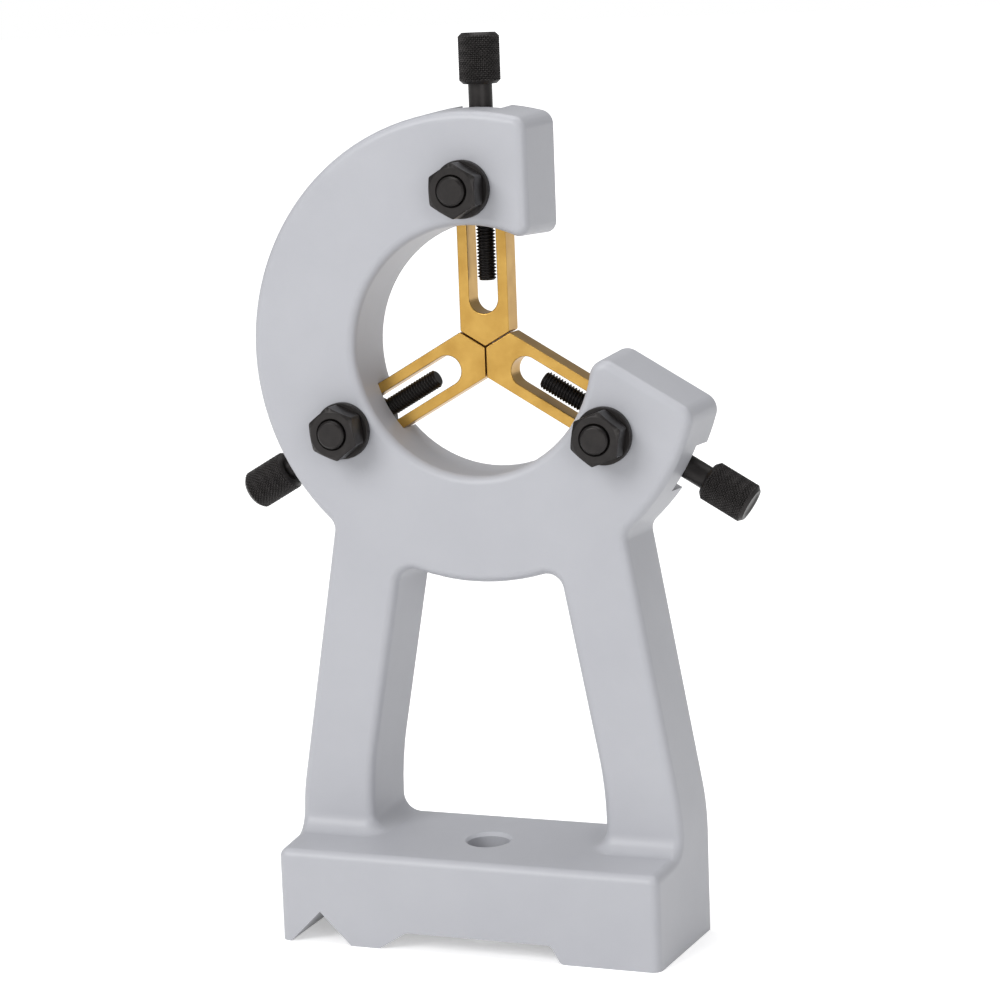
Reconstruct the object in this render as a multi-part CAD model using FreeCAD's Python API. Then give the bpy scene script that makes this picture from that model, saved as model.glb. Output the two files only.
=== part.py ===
# Steady rest for a small bench lathe, 250 mm swing. Lengths in mm, +Z up.
# x = 0 is the spindle centre line, y = 0 the middle of the base's depth and z = 0 its flat foot.
# The front, where the lock nuts are, faces -Y; the fingers ride in grooves open to the rear.
import FreeCAD
import Part
import math
import os

V = FreeCAD.Vector

# ---- driving dimensions: casting ------------------------------------------------------------
centre_height = 125.0        # flat foot to the spindle centre line
draft_deg = 3.0              # mould draft; the casting grows toward its rear face
seam_turn_deg = 30.0         # from +X up into the open side of the ring
base_depth = 30.0            # base, front to rear
base_half_width = 42.4       # at the front face of the base
base_height = 20.1           # at the front face of the base
frame_thickness = 15.5       # ring and legs, flush with the base at the rear
ring_outer_radius = 49.3     # at the front face of the ring
bore_radius = 26.0           # bore in the ring, machined straight
throat_offset = 13.6         # both ends of the open C, measured from the centre line
leg_outer_slope = 0.176      # inward run of the leg's outside per mm up
leg_inner_slope = 0.186      # the same for the window's side
window_half_width = 26.4     # window at its foot
window_arch_step = 0.9       # the arch over the window is this much nearer the centre
                             # than the ring's outside
leg_outer_blend = 60.0       # large arc that turns the leg's outside into the base's side
leg_inner_blend = 80.0
edge_round = 2.0             # rounding of the casting's front edges
foot_cove = 4.0              # hollow round where the legs stand on the base
window_corner = 3.5
shoulder_cove = 3.0          # hollow round where the ring meets the leg
throat_rounds = {"top_outer": 3.0, "right_outer": 3.5, "top_inner": 2.4, "right_inner": 3.5}

# ---- driving dimensions: underside of the base ----------------------------------------------
vee_apex_x = -33.2           # vee that sits over the bed's prismatic way
vee_apex_z = 7.0
foot_left_x = -19.7          # right-hand edge of the left flat foot
relief_height = 3.9          # relief between the two feet
relief_left_x = -13.5
relief_right_x = 18.9
foot_right_x = 21.0          # left-hand edge of the right flat foot
clamp_hole_radius = 4.5      # clamp bolt hole, straight down through the base
clamp_hole_rim = 0.5         # chamfer at its upper rim
underside_round = 1.5        # corners between the feet and the relief

# ---- driving dimensions: fingers and hardware -----------------------------------------------
finger_angles = {"top": 90.0, "left": 210.0, "right": 330.0}
finger_width = 10.9
finger_thickness = 5.5
finger_tip_gap = 0.15        # tip of a closed finger to the centre line
finger_outer_end = 44.5      # radius of the finger's outer end
finger_slot_width = 6.4
finger_slot_start = 7.0
finger_slot_end = 39.5
tip_angle_deg = 120.0
groove_floor_y = 8.5         # web left in front of the groove is 9 mm
stud_radial_place = 33.5
stud_radius = 3.0
stud_front_y = -8.0
stud_block_length = 8.5      # along the finger
stud_cross_hole = 4.1        # clears the adjusting screw
stud_head_diameter = 9.6
stud_head_height = 3.0
stud_head_round = 1.0        # at the rim of its rear face
stud_end_chamfer = 0.5
clamp_washer_diameter = 10.4
clamp_washer_thickness = 1.2
washer_diameter = 12.0
washer_thickness = 1.6
nut_flats = 10.0
nut_thickness = 5.0
nut_face_step = 0.3          # the round face is this much smaller than the flats, each side
nut_chamfer_deg = 30.0
nut_turns = {"top": 0.0, "left": 8.0, "right": -9.0}
thread_diameter = 4.0
screw_inner_end = 13.8
screw_end_chamfer = 0.5
neck_diameter = 3.0
shank_diameter = 5.0
knob_diameter = 8.6
knob_start = 54.4
knob_length = 10.5
knob_chamfer = 0.8

# ---- named clearances -----------------------------------------------------------------------
groove_play = 0.1            # each side of a finger in its groove
stud_play = 0.3              # radial, stud in the web's hole
washer_play = 0.2            # radial, washers on the stud
nut_play = 0.05              # radial, nut on the stud
block_play = 0.1             # each side of the stud block in the finger's slot
hook_play = 0.1              # the finger's hook on the screw's neck, each way
knee_margin = 0.5            # from the base, or its hollow, to where the leg starts to lean
cut_past = 3.0               # how far a cutting shape runs past the metal
edge_match = 0.1             # an edge this near a named place is the one looked for

# ---- derived sizes --------------------------------------------------------------------------
slope = math.tan(math.radians(draft_deg))
rear_y = base_depth / 2.0
base_front_y = -base_depth / 2.0
frame_front_y = rear_y - frame_thickness
frame_growth = frame_thickness * slope
finger_front_y = groove_floor_y
finger_rear_y = finger_front_y + finger_thickness
screw_y = finger_front_y + finger_thickness / 2.0
knob_end = knob_start + knob_length
nut_front_y = frame_front_y - washer_thickness - nut_thickness
clamp_washer_rear_y = finger_rear_y + clamp_washer_thickness
stud_rear_y = clamp_washer_rear_y + stud_head_height
centre = V(0, 0, centre_height)
base_rise = base_depth * slope
base_rear_top = base_height + base_rise
leg_side_x = base_half_width + slope * (frame_front_y - base_front_y)
leg_bend = math.tan(math.atan(leg_outer_slope) / 2.0)
leg_knee_z = base_rear_top + leg_outer_blend * leg_bend + knee_margin
window_bend = math.tan(math.atan(leg_inner_slope) / 2.0)
window_knee_z = base_rear_top + foot_cove + leg_inner_blend * window_bend + knee_margin
window_top_radius = ring_outer_radius - window_arch_step
middle_radius = (bore_radius + ring_outer_radius) / 2.0


# ---- helpers --------------------------------------------------------------------------------
def outline_wire(points, y):
    """Closed wire through (x, z) points on the plane at this y."""
    corners = [V(x, y, z) for x, z in points]
    return Part.makePolygon(corners + [corners[0]])


def drafted(front_points, front_y, rear_points, rear_at):
    """Flat-sided solid between an outline on the front plane and its drafted copy at the rear."""
    faces = [Part.Face(outline_wire(front_points, front_y)),
             Part.Face(outline_wire(rear_points, rear_at))]
    for index in range(len(front_points)):
        following = (index + 1) % len(front_points)
        ring = [(front_points[index], front_y), (front_points[following], front_y),
                (rear_points[following], rear_at), (rear_points[index], rear_at)]
        corners = [V(x, y, z) for (x, z), y in ring]
        faces.append(Part.Face(Part.makePolygon(corners + [corners[0]])))
    solid = Part.Solid(Part.Shell(faces))
    if solid.Volume < 0:
        solid.reverse()
    return solid


def along_y(points, start_y, end_y):
    """Straight prism of an (x, z) outline between two y planes."""
    face = Part.Face(outline_wire(points, start_y))
    return face.extrude(V(0, end_y - start_y, 0))


def seam_in_throat(shape):
    """Turn a body of revolution about the spindle axis so its seam falls in the open throat."""
    shape.rotate(centre, V(0, 1, 0), seam_turn_deg)
    return shape


def rod_y(radius, start_y, end_y, x=0.0, z=0.0):
    """Cylinder along Y."""
    return Part.makeCylinder(radius, end_y - start_y, V(x, start_y, z), V(0, 1, 0))


def turned(profile):
    """Solid of revolution about Z from (radius, z) points, closed down the axis."""
    points = [V(radius, 0, z) for radius, z in profile]
    face = Part.Face(Part.makePolygon(points + [points[0]]))
    return face.revolve(V(0, 0, 0), V(0, 0, 1), 360)


def placed(shape, angle):
    """Turn a shape drawn for the upright finger to the finger at this angle."""
    turned_shape = shape.copy()
    turned_shape.rotate(V(0, 0, 0), V(0, -1, 0), angle - 90.0)
    turned_shape.translate(centre)
    return turned_shape


def edge_points(edge):
    """Both ends and the middle of an edge."""
    middle = edge.valueAt((edge.FirstParameter + edge.LastParameter) / 2.0)
    return edge.Vertexes[0].Point, edge.Vertexes[-1].Point, middle


def is_sharp(shape, edge):
    """True where the two faces that meet at the edge turn by more than a few degrees."""
    faces = shape.ancestorsOfType(edge, Part.Face)
    if len(faces) < 2:
        return False
    middle = edge_points(edge)[2]
    normals = [face.normalAt(*face.Surface.parameter(middle)) for face in faces[:2]]
    return normals[0].getAngle(normals[1]) > math.radians(5.0)


def y_edges(shape, accept):
    """Sharp edges that run front to rear and whose middle passes the test."""
    found = []
    for edge in shape.Edges:
        start, end, middle = edge_points(edge)
        span = end - start
        if abs(span.y) > 0.8 * span.Length > 0 and accept(middle) and is_sharp(shape, edge):
            found.append(edge)
    return found


def sharp_edges(shape, accept):
    """Sharp edges whose two ends and middle all pass the test."""
    return [edge for edge in shape.Edges
            if all(accept(point) for point in edge_points(edge)) and is_sharp(shape, edge)]


def on_front(point):
    return abs(point.y - frame_front_y) < 0.001


def base_top_z(y):
    return base_height + slope * (y - base_front_y)


def on_base_top(point):
    return abs(point.z - base_top_z(point.y)) < 0.02


def from_centre(point):
    return math.hypot(point.x, point.z - centre_height)


# ---- casting --------------------------------------------------------------------------------
def leg_outer_x(z):
    return leg_side_x - leg_outer_slope * (z - leg_knee_z)


def window_side_x(z):
    return window_half_width - leg_inner_slope * (z - window_knee_z)


def base_side_x(y):
    return base_half_width + slope * (y - base_front_y)


def legs_outline(growth):
    """Outside of both legs, from inside the base to inside the ring."""
    outward = growth * math.hypot(1.0, leg_outer_slope)
    side = leg_side_x + growth
    knee_z = leg_knee_z + (outward - growth) / leg_outer_slope
    top_z = centre_height - bore_radius / 2.0
    half = [(side, base_height / 2.0), (side, knee_z), (leg_outer_x(top_z) + outward, top_z)]
    return half + [(-x, z) for x, z in reversed(half)]


def window_outline(growth):
    """Straight-sided part of the window; its arched top is cut later by the ring's cone."""
    inward = growth * math.hypot(1.0, leg_inner_slope)
    side = window_half_width - growth
    knee_z = window_knee_z - (inward - growth) / leg_inner_slope
    top_z = centre_height - middle_radius
    half = [(side, 0.0), (side, knee_z), (window_side_x(top_z) - inward, top_z)]
    return half + [(-x, z) for x, z in reversed(half)]


def throat_outline(growth):
    """Opening of the C between the upright end and the end that follows the right finger."""
    away = throat_offset + growth
    tilt = math.radians(finger_angles["right"])
    normal = (-math.sin(tilt), math.cos(tilt))
    corner_rise = (away - normal[0] * away) / normal[1]
    reach = 2.0 * ring_outer_radius
    low_rise = (away - normal[0] * reach) / normal[1]
    return [(away, centre_height + corner_rise), (away, centre_height + reach),
            (reach, centre_height + reach), (reach, centre_height + low_rise)]


def frame_part():
    """Ring and legs with the window, the bore and the open throat."""
    past = cut_past
    lean = past * slope
    ring = Part.makeCone(ring_outer_radius, ring_outer_radius + frame_growth, frame_thickness,
                         V(0, frame_front_y, centre_height), V(0, 1, 0))
    ring = seam_in_throat(ring)
    legs = drafted(legs_outline(0.0), frame_front_y, legs_outline(frame_growth), rear_y)
    knees = y_edges(legs, lambda p: abs(p.z - leg_knee_z) < 1.0)
    legs = legs.makeFillet(leg_outer_blend, knees)

    window = drafted(window_outline(-lean), frame_front_y - past,
                     window_outline(frame_growth + lean), rear_y + past)
    knees = y_edges(window, lambda p: abs(p.z - window_knee_z) < 1.0)
    window = window.makeFillet(leg_inner_blend, knees)
    arch = Part.makeCone(window_top_radius - lean, window_top_radius + frame_growth + lean,
                         frame_thickness + 2 * past,
                         V(0, frame_front_y - past, centre_height), V(0, 1, 0))
    window = window.cut(seam_in_throat(arch))
    corners = y_edges(window, lambda p: p.z > (window_knee_z + centre_height - ring_outer_radius) / 2)
    window = window.makeFillet(window_corner, corners)

    throat = drafted(throat_outline(-lean), frame_front_y - past,
                     throat_outline(frame_growth + lean), rear_y + past)
    bore = rod_y(bore_radius, frame_front_y - past, rear_y + past, 0.0, centre_height)
    bore = seam_in_throat(bore)
    frame = ring.fuse(legs).removeSplitter()
    shoulders = y_edges(frame, lambda p: p.z > leg_knee_z + 1.0)
    frame = frame.makeFillet(shoulder_cove, shoulders).cut(throat).cut(bore)

    for corner, radius in throat_rounds.items():
        upper = corner.startswith("top")
        outer = corner.endswith("outer")
        tips = y_edges(frame, lambda p: p.x > 0.0 and p.z > centre_height - middle_radius / 2.0
                       and (p.z > centre_height + throat_offset / 2.0) == upper
                       and (from_centre(p) > middle_radius) == outer)
        frame = frame.makeFillet(radius, tips)
    return frame.cut(window)


def base_block():
    front = [(-base_half_width, 0.0), (base_half_width, 0.0),
             (base_half_width, base_height), (-base_half_width, base_height)]
    rear_half = base_half_width + base_rise
    rear = [(-rear_half, 0.0), (rear_half, 0.0),
            (rear_half, base_rear_top), (-rear_half, base_rear_top)]
    return drafted(front, base_front_y, rear, rear_y)


def with_edges_rounded(body):
    """Window rim first, then the hollow at the feet, then the outer rim and the base's edges."""
    window_rim = sharp_edges(body, lambda p: on_front(p)
                             and abs(p.x) < window_half_width + edge_match
                             and from_centre(p) > middle_radius and p.z < centre_height)
    window_rim = [edge for edge in window_rim if not on_base_top(edge_points(edge)[2])]
    body = body.makeFillet(edge_round, window_rim)
    foot = sharp_edges(body, lambda p: on_base_top(p) and p.y > frame_front_y - 0.001)
    foot = [edge for edge in foot if edge_points(edge)[2].y < rear_y - 0.001]
    body = body.makeFillet(foot_cove, foot)
    outer_rim = sharp_edges(body, on_front)
    outer_rim = [edge for edge in outer_rim
                 if from_centre(edge_points(edge)[2]) > bore_radius + edge_match]

    def on_base_edge(point):
        on_side = abs(abs(point.x) - base_side_x(point.y)) < 0.02
        return point.y < frame_front_y and (on_side or point.y < base_front_y + 0.001)

    base_edges = [edge for edge in sharp_edges(body, on_base_edge)
                  if edge_points(edge)[2].z > underside_round]
    return body.makeFillet(edge_round, outer_rim + base_edges)


def underside_cut():
    """Vee, relief between the feet, and the clamp bolt hole."""
    below = -cut_past
    run = vee_apex_z - below
    vee = [(vee_apex_x - run, below), (vee_apex_x + run, below), (vee_apex_x, vee_apex_z)]
    relief = [(foot_left_x, below), (foot_left_x, 0.0), (relief_left_x, relief_height),
              (relief_right_x, relief_height), (foot_right_x, 0.0), (foot_right_x, below)]
    start_y = base_front_y - cut_past
    end_y = rear_y + cut_past
    cut = along_y(vee, start_y, end_y).fuse(along_y(relief, start_y, end_y))
    hole = Part.makeCylinder(clamp_hole_radius, base_rear_top + 2 * cut_past, V(0, 0, below))
    rim = Part.makeCone(clamp_hole_radius, 2 * clamp_hole_radius, clamp_hole_radius,
                        V(0, 0, base_top_z(0.0) - clamp_hole_rim))
    return cut.fuse([hole, rim])


def groove_cut():
    """Finger groove and stud hole, drawn for the upright finger about the centre."""
    half = finger_width / 2.0 + groove_play
    inner = bore_radius / 2.0
    outer = 2.0 * ring_outer_radius
    groove = Part.makeBox(2 * half, rear_y - groove_floor_y + cut_past, outer - inner,
                          V(-half, groove_floor_y, inner))
    hole = rod_y(stud_radius + stud_play, frame_front_y - cut_past, groove_floor_y + cut_past,
                 0.0, stud_radial_place)
    return groove.fuse(hole)


def frame_casting():
    body = with_edges_rounded(frame_part().fuse(base_block()).removeSplitter())
    body = body.cut(underside_cut())
    corner_places = [foot_left_x, relief_left_x, relief_right_x, foot_right_x]
    corners = y_edges(body, lambda p: p.z < relief_height + edge_match
                      and min(abs(p.x - place) for place in corner_places) < edge_match)
    body = body.makeFillet(underside_round, corners)
    for angle in finger_angles.values():
        body = body.cut(placed(groove_cut(), angle))
    return body


# ---- fingers and hardware, drawn for the upright finger about the centre --------------------
def finger():
    """Brass finger with its V tip, long slot and the hook that takes the screw's neck."""
    half = finger_width / 2.0
    shoulder = finger_tip_gap + half / math.tan(math.radians(tip_angle_deg / 2.0))
    outline = [(0.0, finger_tip_gap), (half, shoulder), (half, finger_outer_end),
               (-half, finger_outer_end), (-half, shoulder)]
    bar = along_y(outline, finger_front_y, finger_rear_y)
    slot_radius = finger_slot_width / 2.0
    round_z = finger_slot_start + slot_radius
    slot_front = finger_front_y - cut_past
    slot_rear = finger_rear_y + cut_past
    slot = Part.makeBox(finger_slot_width, slot_rear - slot_front, finger_slot_end - round_z,
                        V(-slot_radius, slot_front, round_z))
    slot = slot.fuse(rod_y(slot_radius, slot_front, slot_rear, 0.0, round_z))
    hook_radius = neck_diameter / 2.0 + hook_play
    hook_start = finger_slot_end - cut_past
    hook_length = finger_outer_end + cut_past - hook_start
    hook = Part.makeCylinder(hook_radius, hook_length, V(0, screw_y, hook_start))
    hook = hook.fuse(Part.makeBox(2 * hook_radius, finger_thickness, hook_length,
                                  V(-hook_radius, screw_y, hook_start)))
    return bar.cut(slot).cut(hook)


def adjusting_screw():
    """Threaded rod, neck held by the finger's hook, shank and knob, in one piece."""
    thread = thread_diameter / 2.0
    neck = neck_diameter / 2.0
    shank = shank_diameter / 2.0
    knob = knob_diameter / 2.0
    tip = screw_end_chamfer
    neck_start = finger_slot_end - hook_play
    neck_end = finger_outer_end + hook_play
    profile = [(0.0, screw_inner_end), (thread - tip, screw_inner_end),
               (thread, screw_inner_end + tip), (thread, neck_start), (neck, neck_start),
               (neck, neck_end), (shank, neck_end), (shank, knob_start),
               (knob - knob_chamfer, knob_start), (knob, knob_start + knob_chamfer),
               (knob, knob_end - knob_chamfer), (knob - knob_chamfer, knob_end), (0.0, knob_end)]
    screw = turned(profile)
    screw.translate(V(0, screw_y, 0))
    return screw


def lock_stud():
    """Stud with a square block the screw passes through and a round head at the rear."""
    chamfer = stud_end_chamfer
    side = finger_slot_width - 2 * block_play
    front = rod_y(stud_radius, stud_front_y + chamfer, clamp_washer_rear_y, 0.0, stud_radial_place)
    tip = Part.makeCone(stud_radius - chamfer, stud_radius, chamfer,
                        V(0, stud_front_y, stud_radial_place), V(0, 1, 0))
    block_front = finger_front_y + block_play
    block_depth = finger_thickness - 2 * block_play
    block = Part.makeBox(side, block_depth, stud_block_length,
                         V(-side / 2.0, block_front, stud_radial_place - stud_block_length / 2.0))
    head = rod_y(stud_head_diameter / 2.0, clamp_washer_rear_y, stud_rear_y,
                 0.0, stud_radial_place)
    rim = max(head.Edges, key=lambda edge: edge.CenterOfMass.y)
    head = head.makeFillet(stud_head_round, [rim])
    stud = front.fuse([tip, block, head]).removeSplitter()
    bore = Part.makeCylinder(stud_cross_hole / 2.0, 2 * stud_block_length,
                             V(0, screw_y, stud_radial_place - stud_block_length))
    return stud.cut(bore)


def ring_washer(diameter, hole_radius, front_y, rear_at):
    outer = rod_y(diameter / 2.0, front_y, rear_at, 0.0, stud_radial_place)
    hole = rod_y(hole_radius, front_y - cut_past, rear_at + cut_past, 0.0, stud_radial_place)
    return outer.cut(hole)


def clamp_washer():
    return ring_washer(clamp_washer_diameter, stud_radius + washer_play,
                       finger_rear_y, clamp_washer_rear_y)


def front_washer():
    return ring_washer(washer_diameter, stud_radius + washer_play,
                       frame_front_y - washer_thickness, frame_front_y)


def lock_nut():
    """Hexagon nut, both faces turned down to a cone at the corners."""
    corner = nut_flats / 2.0 / math.cos(math.radians(30.0))
    points = []
    for step in range(6):
        turn = math.radians(30.0 + 60.0 * step)
        points.append((corner * math.cos(turn), stud_radial_place + corner * math.sin(turn)))
    rear_at = nut_front_y + nut_thickness
    hexagon = along_y(points, nut_front_y, rear_at)
    face_radius = nut_flats / 2.0 - nut_face_step
    bulge = corner + nut_face_step - face_radius
    drop = bulge * math.tan(math.radians(nut_chamfer_deg))
    profile = [(0.0, 0.0), (face_radius, 0.0), (face_radius + bulge, drop),
               (face_radius + bulge, nut_thickness - drop), (face_radius, nut_thickness),
               (0.0, nut_thickness)]
    barrel = turned(profile)
    barrel.rotate(V(0, 0, 0), V(1, 0, 0), -90)
    barrel.translate(V(0, nut_front_y, stud_radial_place))
    hole = rod_y(stud_radius + nut_play, nut_front_y - cut_past, rear_at + cut_past,
                 0.0, stud_radial_place)
    return hexagon.common(barrel).cut(hole)


def save(name, shape):
    solid = shape.Solids[0] if len(shape.Solids) == 1 else shape
    solid.exportStep("parts/" + name + ".step")
    box = solid.BoundBox
    print(name, len(shape.Solids), solid.isValid(), round(solid.Volume, 1),
          [round(v, 2) for v in (box.XMin, box.XMax, box.YMin, box.YMax, box.ZMin, box.ZMax)])


os.makedirs("parts", exist_ok=True)
save("frame_casting", frame_casting())
for side, angle in finger_angles.items():
    save(side + "_finger", placed(finger(), angle))
    save(side + "_adjusting_screw", placed(adjusting_screw(), angle))
    save(side + "_lock_stud", placed(lock_stud(), angle))
    save(side + "_clamp_washer", placed(clamp_washer(), angle))
    save(side + "_washer", placed(front_washer(), angle))
    nut = lock_nut()
    nut.rotate(V(0, 0, stud_radial_place), V(0, -1, 0), nut_turns[side] - (angle - 90.0))
    save(side + "_lock_nut", placed(nut, angle))
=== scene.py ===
import bpy
import bmesh
import math
import numpy as np
from mathutils import Matrix


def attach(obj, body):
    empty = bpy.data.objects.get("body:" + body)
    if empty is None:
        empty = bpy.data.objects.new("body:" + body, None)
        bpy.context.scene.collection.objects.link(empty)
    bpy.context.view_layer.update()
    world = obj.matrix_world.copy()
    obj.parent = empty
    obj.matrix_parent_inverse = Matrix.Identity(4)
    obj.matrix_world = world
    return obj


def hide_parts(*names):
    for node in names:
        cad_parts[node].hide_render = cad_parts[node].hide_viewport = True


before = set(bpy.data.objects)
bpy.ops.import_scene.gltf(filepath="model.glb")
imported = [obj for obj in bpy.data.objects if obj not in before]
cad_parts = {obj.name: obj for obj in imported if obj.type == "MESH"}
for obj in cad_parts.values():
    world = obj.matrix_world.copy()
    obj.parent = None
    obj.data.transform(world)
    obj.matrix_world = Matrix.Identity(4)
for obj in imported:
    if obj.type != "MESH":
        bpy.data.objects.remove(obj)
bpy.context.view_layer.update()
mm = 0.001
print("frame loaded:", len(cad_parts), "nodes")

# places shared by every piece, in mm and degrees, the same as the model's own frame
centreHeight = 125.0
screwY = 11.25
studRadial = 33.5
sides = {"top": 90.0, "left": 210.0, "right": 330.0}


def axisFrame(angle):
    # unit vectors of a finger: outward along its radius, across it, and the spindle axis
    turn = math.radians(angle)
    outward = np.array([math.cos(turn), 0.0, math.sin(turn)])
    across = np.array([-math.sin(turn), 0.0, math.cos(turn)])
    return outward, across, np.array([0.0, 1.0, 0.0])


def ringPoint(angle, radius, y):
    # a point on a finger's centre line, at this radius from the spindle axis
    outward = axisFrame(angle)[0]
    return np.array([0.0, y, centreHeight]) + outward * radius


def addObject(name, mesh, material, body, node):
    # an object at the origin that rides on a body and stands for one node of the model
    obj = bpy.data.objects.new(name, mesh)
    bpy.context.scene.collection.objects.link(obj)
    mesh.materials.clear()
    mesh.materials.append(material)
    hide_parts(node)
    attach(obj, body)
    return obj


def gridFaces(rows, columns, wrapRows):
    # quads of a rows x columns grid, closed round the columns, and round the rows if asked
    i = np.arange(rows if wrapRows else rows - 1)
    j = np.arange(columns)
    up = (i + 1) % rows
    following = (j + 1) % columns
    a = (i[:, None] * columns + j[None, :]).ravel()
    b = (i[:, None] * columns + following[None, :]).ravel()
    c = (up[:, None] * columns + following[None, :]).ravel()
    d = (up[:, None] * columns + j[None, :]).ravel()
    return np.stack([a, b, c, d], axis=1)


def gridMesh(name, grids, sharpAngle, wrapRows=False):
    # closed skins over grids of points (rows, columns, xyz) in mm; open ends get a centre fan
    vertices, faces, offset = [], [], 0
    for points in grids:
        rows, columns = points.shape[:2]
        vertices.append(points.reshape(-1, 3))
        faces += (gridFaces(rows, columns, wrapRows) + offset).tolist()
        offset += rows * columns
        if not wrapRows:
            vertices.append(np.stack([points[0].mean(0), points[-1].mean(0)]))
            first, last = np.full(columns, offset), np.full(columns, offset + 1)
            step = np.arange(columns)
            following = (step + 1) % columns
            head = offset - rows * columns
            tail = offset - columns
            faces += np.stack([first, head + following, head + step], axis=1).tolist()
            faces += np.stack([last, tail + step, tail + following], axis=1).tolist()
            offset += 2
    mesh = bpy.data.meshes.new(name)
    mesh.from_pydata((np.vstack(vertices) * mm).tolist(), [], faces)
    mesh.update()
    work = bmesh.new()
    work.from_mesh(mesh)
    bmesh.ops.recalc_face_normals(work, faces=work.faces)
    work.to_mesh(mesh)
    work.free()
    mesh.shade_smooth()
    mesh.set_sharp_from_angle(angle=math.radians(sharpAngle))
    return mesh


def turnedGrid(radii, heights, origin, axis, first, second):
    # surface of revolution: origin + axis * height + (first cos + second sin) * radius,
    # with a radius and a height for every row and column
    columns = radii.shape[1]
    turn = np.linspace(0.0, 2 * math.pi, columns, endpoint=False)
    around = first * np.cos(turn)[:, None] + second * np.sin(turn)[:, None]
    heights = np.broadcast_to(heights, radii.shape)
    return origin + axis * heights[..., None] + around[None] * radii[..., None]


def linear(hexColour):
    # sRGB hex value to the linear colour a shader takes
    value = hexColour.lstrip("#")
    parts = [int(value[k:k + 2], 16) / 255.0 for k in (0, 2, 4)]
    parts = [p / 12.92 if p <= 0.04045 else ((p + 0.055) / 1.055) ** 2.4 for p in parts]
    return parts + [1.0]


def addNode(tree, kind, settings=None, inputs=None):
    # a node with its settings, and its inputs given as values or as sockets to link
    node = tree.nodes.new(kind)
    for key, value in (settings or {}).items():
        setattr(node, key, value)
    for key, value in (inputs or {}).items():
        socket = node.inputs[key]
        if isinstance(value, bpy.types.NodeSocket):
            tree.links.new(value, socket)
        else:
            socket.default_value = value
    return node


def newMaterial(name, **values):
    # a material with its plain values, such as Roughness, set on the shader's own sockets
    material = bpy.data.materials.new(name)
    material.use_nodes = True
    tree = material.node_tree
    shader = tree.nodes["Principled BSDF"]
    for key, value in values.items():
        shader.inputs[key.replace("_", " ")].default_value = value
    return material, tree, shader


def castPaint():
    # Sand-cast body under one coat of light grey machine enamel: satin, with the sand's
    # lumps showing through as a faint orange peel, and slow changes of shade between dips.
    # Grain, lumps and patches are in mm.
    look = {"base": "#B2B3B8", "shade": "#A6A7AD", "grain": 0.45, "lumps": 6.0, "patches": 24.0,
            "lumpHeight": 0.25, "lumpStrength": 0.35, "grainHeight": 0.04, "grainStrength": 0.25}
    material, tree, shader = newMaterial("castGreyEnamel", Roughness=0.42,
                                         Specular_IOR_Level=0.5)
    place = addNode(tree, "ShaderNodeTexCoord").outputs["Object"]
    patches = addNode(tree, "ShaderNodeTexNoise", None,
                      {"Vector": place, "Scale": 1000.0 / look["patches"], "Detail": 4.0,
                       "Roughness": 0.6})
    mix = addNode(tree, "ShaderNodeMix", {"data_type": "RGBA"},
                  {"Factor": patches.outputs["Fac"], "A": linear(look["base"]),
                   "B": linear(look["shade"])})
    tree.links.new(mix.outputs["Result"], shader.inputs["Base Color"])
    lumps = addNode(tree, "ShaderNodeTexNoise", None,
                    {"Vector": place, "Scale": 1000.0 / look["lumps"], "Detail": 3.0})
    grain = addNode(tree, "ShaderNodeTexNoise", None,
                    {"Vector": place, "Scale": 1000.0 / look["grain"], "Detail": 2.0})
    wide = addNode(tree, "ShaderNodeBump", None,
                   {"Height": lumps.outputs["Fac"], "Strength": look["lumpStrength"],
                    "Distance": look["lumpHeight"] * mm})
    fine = addNode(tree, "ShaderNodeBump", None,
                   {"Height": grain.outputs["Fac"], "Strength": look["grainStrength"],
                    "Distance": look["grainHeight"] * mm, "Normal": wide.outputs["Normal"]})
    tree.links.new(fine.outputs["Normal"], shader.inputs["Normal"])
    return material


def milledBrass():
    # Brass bar, sawn and milled: warm yellow with a little tarnish in patches, and the
    # cutter's fine marks as a grain in every direction. Line and patch are in mm.
    look = {"bright": "#CDA75C", "tarnish": "#9C7434", "line": 0.35, "patch": 5.0,
            "lineHeight": 0.03, "lineStrength": 0.3}
    material, tree, shader = newMaterial("milledBrass", Metallic=1.0, Roughness=0.34)
    place = addNode(tree, "ShaderNodeTexCoord").outputs["Object"]
    patch = addNode(tree, "ShaderNodeTexNoise", None,
                    {"Vector": place, "Scale": 1000.0 / look["patch"], "Detail": 5.0})
    mix = addNode(tree, "ShaderNodeMix", {"data_type": "RGBA"},
                  {"Factor": patch.outputs["Fac"], "A": linear(look["bright"]),
                   "B": linear(look["tarnish"])})
    tree.links.new(mix.outputs["Result"], shader.inputs["Base Color"])
    lines = addNode(tree, "ShaderNodeTexNoise", None,
                    {"Vector": place, "Scale": 1000.0 / look["line"], "Detail": 2.0})
    bump = addNode(tree, "ShaderNodeBump", None,
                   {"Height": lines.outputs["Fac"], "Strength": look["lineStrength"],
                    "Distance": look["lineHeight"] * mm})
    tree.links.new(bump.outputs["Normal"], shader.inputs["Normal"])
    return material


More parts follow.
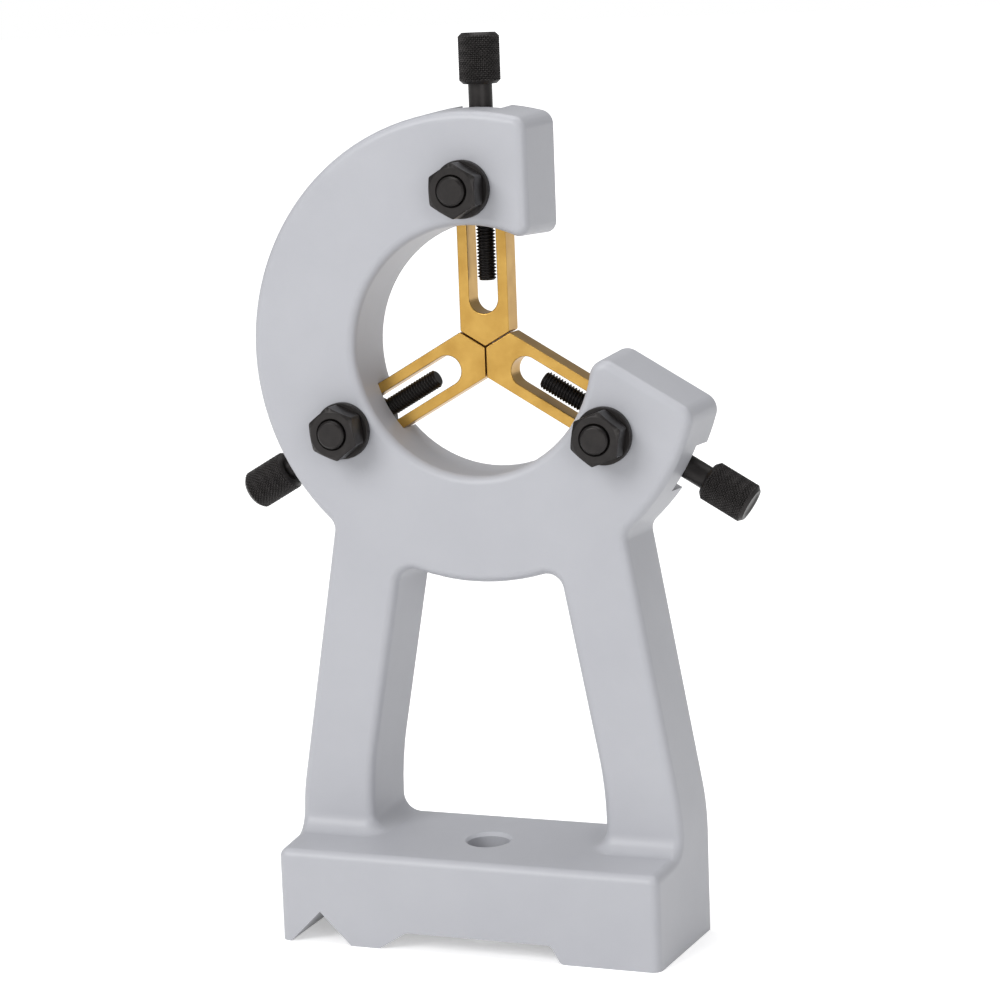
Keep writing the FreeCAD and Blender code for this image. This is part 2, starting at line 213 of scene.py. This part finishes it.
def blackOxide(name, roughness):
    # Black-oxide steel: near-black conversion coat with an oily half-gloss that catches light
    # on the machined edges, in blotches 1.5 mm across where the coat took unevenly
    look = {"dark": "#1B1919", "worn": "#2E2B2A", "blotch": 1.5}
    material, tree, shader = newMaterial(name, Metallic=0.6, Roughness=roughness)
    place = addNode(tree, "ShaderNodeTexCoord").outputs["Object"]
    blotch = addNode(tree, "ShaderNodeTexNoise", None,
                     {"Vector": place, "Scale": 1000.0 / look["blotch"], "Detail": 4.0})
    mix = addNode(tree, "ShaderNodeMix", {"data_type": "RGBA"},
                  {"Factor": blotch.outputs["Fac"], "A": linear(look["dark"]),
                   "B": linear(look["worn"])})
    tree.links.new(mix.outputs["Result"], shader.inputs["Base Color"])
    return material


paint = castPaint()
brass = milledBrass()
oxideScrew = blackOxide("blackOxideScrew", 0.42)
oxideStud = blackOxide("blackOxideStud", 0.38)
oxideWasher = blackOxide("blackOxideWasher", 0.45)
oxideNut = blackOxide("blackOxideNut", 0.36)
print("materials made")


def copyOf(node, name, material, body, edge, segments=2):
    # the model's own shape, welded and cleared of needless edges, with its sharp edges broken
    weld = {"reach": 0.002, "flat": 0.6, "sharp": 32.0, "faceWeight": 100}
    work = bmesh.new()
    work.from_mesh(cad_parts[node].data)
    bmesh.ops.remove_doubles(work, verts=work.verts, dist=weld["reach"] * mm)
    bmesh.ops.dissolve_limit(work, angle_limit=math.radians(weld["flat"]), verts=work.verts,
                             edges=work.edges)
    mesh = bpy.data.meshes.new(name)
    work.to_mesh(mesh)
    work.free()
    mesh.shade_smooth()
    obj = addObject(name, mesh, material, body, node)
    bevel = obj.modifiers.new("brokenEdges", "BEVEL")
    bevel.width = edge * mm
    bevel.segments = segments
    bevel.limit_method = "ANGLE"
    bevel.angle_limit = math.radians(weld["sharp"])
    bevel.harden_normals = False
    bevel.miter_outer = "MITER_ARC"
    weighted = obj.modifiers.new("faceNormals", "WEIGHTED_NORMAL")
    weighted.keep_sharp = True
    weighted.weight = weld["faceWeight"]


def threadedRod(angle, origin):
    # M4 x 0.7 thread up to the neck in the finger's hook, then the shank up into the knob
    size = {"pitch": 0.7, "rowsPerPitch": 10.0, "columns": 48, "radius": 2.0, "depth": 0.43,
            "end": 13.8, "endRadius": 1.5, "neck": 39.4, "neckRadius": 1.5, "shank": 44.6,
            "shankRadius": 2.5, "shankChamfer": 0.2, "top": 54.5}
    outward, across, along = axisFrame(angle)
    turn = np.linspace(0.0, 1.0, size["columns"], endpoint=False)
    # the radius falls from crest to root as a V, one pitch for each turn of the helix
    heights = np.arange(size["end"], size["neck"], size["pitch"] / size["rowsPerPitch"])
    phase = (heights[:, None] / size["pitch"] - turn[None, :]) % 1.0
    fall = np.clip(1.3 * np.abs(2.0 * phase - 1.0) - 0.15, 0.0, 1.0)
    thread = size["radius"] - size["depth"] * fall
    thread = np.minimum(thread, size["endRadius"] + heights[:, None] - size["end"])
    plain = [(size["neck"], size["neckRadius"]), (size["shank"], size["neckRadius"]),
             (size["shank"], size["shankRadius"] - size["shankChamfer"]),
             (size["shank"] + size["shankChamfer"], size["shankRadius"]),
             (size["top"], size["shankRadius"])]
    radii = np.vstack([thread] + [np.full((1, size["columns"]), radius) for _, radius in plain])
    heights = np.concatenate([heights, [height for height, _ in plain]])
    return turnedGrid(radii, heights[:, None], origin, outward, along, across)


def knurledKnob(angle, origin):
    # round knob with a diamond knurl, chamfered at both ends, with a shallow recess on top
    size = {"start": 54.4, "end": 64.9, "radius": 4.3, "chamferRadius": 3.5, "teeth": 32,
            "columnsPerTooth": 8, "rows": 106, "pitch": 0.84, "depth": 0.3,
            "footRadius": 2.2, "rimRadius": 2.8, "recessRadius": 2.4, "recess": 0.25}
    outward, across, along = axisFrame(angle)
    columns = size["teeth"] * size["columnsPerTooth"]
    turn = np.linspace(0.0, size["teeth"], columns, endpoint=False)[None, :]
    heights = np.linspace(size["start"], size["end"], size["rows"])[:, None]
    # two crossed sets of helical V grooves leave small flat-topped diamonds
    climb = (heights - size["start"]) / size["pitch"]
    grooves = np.maximum(np.abs(2.0 * ((turn + climb) % 1.0) - 1.0),
                         np.abs(2.0 * ((turn - climb) % 1.0) - 1.0))
    radii = size["radius"] - size["depth"] * np.clip(1.6 * grooves - 0.6, 0.0, 1.0)
    chamfer = np.minimum(heights - size["start"], size["end"] - heights)
    radii = np.minimum(radii, size["chamferRadius"] + chamfer)
    foot, rim, recess = (np.full((1, columns), size[key])
                         for key in ("footRadius", "rimRadius", "recessRadius"))
    radii = np.vstack([foot, radii, rim, recess])
    heights = np.vstack([[[size["start"]]], heights, [[size["end"]]],
                         [[size["end"] - size["recess"]]]])
    return turnedGrid(radii, heights, origin, outward, along, across)


def screwMesh(name, angle):
    origin = ringPoint(angle, 0.0, screwY)
    return gridMesh(name, [threadedRod(angle, origin), knurledKnob(angle, origin)], 38.0)


def nutMesh(name, angle, turned):
    # M6 nut, 10 mm across flats: the radius is that of a hexagon with its corners just
    # broken, and both faces fall away at 30 degrees outside the round bearing face
    size = {"flats": 10.0, "corner": 5.68, "face": 4.7, "hole": 3.05, "front": -7.1,
            "rear": -2.1, "holeChamfer": 0.35, "slope": 30.0, "columns": 180}
    turn = np.linspace(0.0, 2.0 * math.pi, size["columns"], endpoint=False)
    flat = (np.degrees(turn) - turned + 30.0) % 60.0 - 30.0
    hexagon = np.minimum(size["flats"] / 2.0 / np.cos(np.radians(flat)), size["corner"])
    drop = (hexagon - size["face"]) * math.tan(math.radians(size["slope"]))
    rows = [(size["hole"] + size["holeChamfer"], size["front"]), (size["face"], size["front"]),
            (hexagon - 0.06, size["front"] + drop - 0.03), (hexagon, size["front"] + drop + 0.05),
            (hexagon, size["rear"] - drop), (size["face"], size["rear"]),
            (size["hole"], size["rear"]), (size["hole"], size["front"] + size["holeChamfer"])]
    radii = np.array([np.broadcast_to(radius, size["columns"]) for radius, _ in rows])
    heights = np.array([np.broadcast_to(height, size["columns"]) for _, height in rows])
    origin = ringPoint(angle, studRadial, 0.0)
    grid = turnedGrid(radii, heights, origin, np.array([0.0, 1.0, 0.0]),
                      np.array([1.0, 0.0, 0.0]), np.array([0.0, 0.0, 1.0]))
    return gridMesh(name, [grid], 25.0, wrapRows=True)


# how far each sharp edge is broken, in mm
brokenEdge = {"casting": 0.15, "finger": 0.25, "stud": 0.12, "clampWasher": 0.15, "washer": 0.2}
copyOf("frame_casting", "casting", paint, "frame", brokenEdge["casting"])
print("casting made")

# how each nut was left when it was tightened, in degrees from flats upright
nutTurns = {"top": 0.0, "left": 8.0, "right": -9.0}
for side, angle in sides.items():
    copyOf(side + "_finger", side + "Finger", brass, side + "_finger",
           brokenEdge["finger"], 3)
    addObject(side + "Screw", screwMesh(side + "Screw", angle), oxideScrew, side + "_screw",
              side + "_adjusting_screw")
    addObject(side + "Nut", nutMesh(side + "Nut", angle, nutTurns[side]), oxideNut,
              side + "_nut", side + "_lock_nut")
    copyOf(side + "_lock_stud", side + "Stud", oxideStud, "frame",
           brokenEdge["stud"])
    copyOf(side + "_clamp_washer", side + "ClampWasher", oxideWasher, "frame",
           brokenEdge["clampWasher"])
    copyOf(side + "_washer", side + "Washer", oxideWasher, side + "_washer",
           brokenEdge["washer"])
print("fingers and hardware made")


def placeWith(obj, columns, position):
    # turns and moves an object so that its own x, y and z axes lie along the three columns
    matrix = Matrix.Identity(4)
    for row in range(3):
        for column in range(3):
            matrix[row][column] = columns[column][row]
        matrix[row][3] = position[row]
    obj.matrix_world = matrix
    bpy.context.scene.collection.objects.link(obj)


def addCamera():
    # place in mm and degrees: yaw to the left, pitch down, and a slight roll
    place = {"x": 221.0, "y": -550.1, "z": 194.2, "yaw": 21.398, "pitch": 9.608, "roll": -2.102,
             "lens": 104.1, "sensor": 36.0, "near": 0.01, "far": 50.0}
    yaw, pitch, roll = (math.radians(place[key]) for key in ("yaw", "pitch", "roll"))
    forward = np.array([-math.sin(yaw) * math.cos(pitch), math.cos(yaw) * math.cos(pitch),
                        -math.sin(pitch)])
    right = np.array([math.cos(yaw), math.sin(yaw), 0.0])
    up = np.cross(right, forward)
    across = right * math.cos(roll) + up * math.sin(roll)
    rise = -right * math.sin(roll) + up * math.cos(roll)
    data = bpy.data.cameras.new("camera")
    data.lens = place["lens"]
    data.sensor_width = place["sensor"]
    data.clip_start = place["near"]
    data.clip_end = place["far"]
    camera = bpy.data.objects.new("camera", data)
    placeWith(camera, (across, rise, -forward), [place[key] * mm for key in ("x", "y", "z")])
    bpy.context.scene.camera = camera


def addFloor():
    # pale paper floor that takes the shadow; lengths in metres
    look = {"size": 40.0, "paper": "#F2F2F2", "nearGlow": 0.4, "farGlow": 1.0, "from": 0.5,
            "to": 2.5}
    size = look["size"]
    mesh = bpy.data.meshes.new("floor")
    corners = [(-size, -size, 0.0), (size, -size, 0.0), (size, size, 0.0), (-size, size, 0.0)]
    mesh.from_pydata(corners, [], [(0, 1, 2, 3)])
    material, tree, shader = newMaterial("paperFloor", Roughness=0.9, Specular_IOR_Level=0.0)
    shader.inputs["Base Color"].default_value = linear(look["paper"])
    path = addNode(tree, "ShaderNodeLightPath")
    seen = addNode(tree, "ShaderNodeMath", {"operation": "MAXIMUM"},
                   {0: path.outputs["Is Camera Ray"], 1: path.outputs["Is Glossy Ray"]})
    # the glow rises from beside the object to full white where the lamps no longer reach
    place = addNode(tree, "ShaderNodeTexCoord").outputs["Object"]
    away = addNode(tree, "ShaderNodeVectorMath", {"operation": "LENGTH"}, {0: place})
    level = addNode(tree, "ShaderNodeMapRange", None,
                    {"Value": away.outputs["Value"], "From Min": look["from"],
                     "From Max": look["to"], "To Min": look["nearGlow"],
                     "To Max": look["farGlow"]})
    glow = addNode(tree, "ShaderNodeMath", {"operation": "MULTIPLY"},
                   {0: seen.outputs[0], 1: level.outputs["Result"]})
    shader.inputs["Emission Color"].default_value = (1.0, 1.0, 1.0, 1.0)
    tree.links.new(glow.outputs[0], shader.inputs["Emission Strength"])
    mesh.materials.append(material)
    floor = bpy.data.objects.new("floor", mesh)
    bpy.context.scene.collection.objects.link(floor)


def addWorld():
    # white where the camera sees it, and a soft grey light from all round on the object
    strengths = {"light": 0.35, "seen": 1.0}
    world = bpy.data.worlds.new("studio")
    bpy.context.scene.world = world
    world.use_nodes = True
    tree = world.node_tree
    background = tree.nodes["Background"]
    path = addNode(tree, "ShaderNodeLightPath")
    strength = addNode(tree, "ShaderNodeMapRange", None,
                       {"Value": path.outputs["Is Camera Ray"], "To Min": strengths["light"],
                        "To Max": strengths["seen"]})
    tree.links.new(strength.outputs["Result"], background.inputs["Strength"])
    background.inputs["Color"].default_value = (1.0, 1.0, 1.0, 1.0)


def addSoftbox(name, place, side, power):
    # a square softbox at this place in metres, turned to the middle of the object
    middle = np.array([0.0, 0.0, 0.1])
    data = bpy.data.lights.new(name, "AREA")
    data.shape = "RECTANGLE"
    data.size, data.size_y = side, side
    data.energy = power
    back = np.array(place, float) - middle
    back /= np.linalg.norm(back)
    level = np.cross([0.0, 0.0, 1.0], back)
    level /= np.linalg.norm(level)
    placeWith(bpy.data.objects.new(name, data), (level, np.cross(back, level), back), place)


addCamera()
addFloor()
addWorld()
addSoftbox("keySoftbox", (-0.7, -1.3, 1.1), 1.0, 20.0)
addSoftbox("fillSoftbox", (1.0, -1.2, 0.5), 0.8, 6.0)
addSoftbox("topSoftbox", (0.0, 0.2, 1.6), 1.2, 12.0)
bpy.context.scene.view_settings.view_transform = "Standard"
print("camera, floor and light made")
